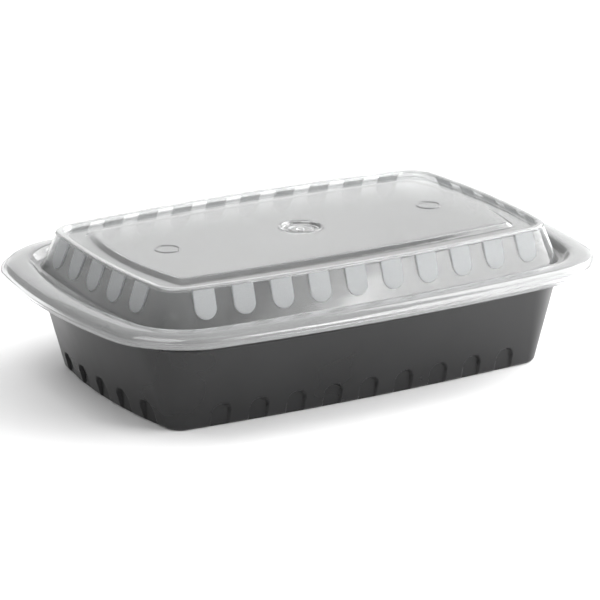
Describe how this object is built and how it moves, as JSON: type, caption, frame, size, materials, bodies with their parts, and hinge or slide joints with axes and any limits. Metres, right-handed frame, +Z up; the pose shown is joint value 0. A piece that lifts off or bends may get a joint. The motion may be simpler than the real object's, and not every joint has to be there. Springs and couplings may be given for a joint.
{
  "type": "takeaway meal container",
  "caption": "Rectangular takeaway container: a black plastic tub with sloping walls and a clear domed lid pressed onto its rim, shut and empty.",
  "frame": {"origin": "the middle of the tub's underside, on the surface it stands on", "axes": "+X along the long sides, +Y along the short sides, +Z up"},
  "size_m": [0.2222, 0.1504, 0.0562],
  "materials": {
    "black_polypropylene": "satin",
    "clear_polypropylene": "clear, faintly milky, satin"
  },
  "bodies": {
    "root": {"tub": "black_polypropylene", "lid": "clear_polypropylene"}
  },
  "joints": []
}
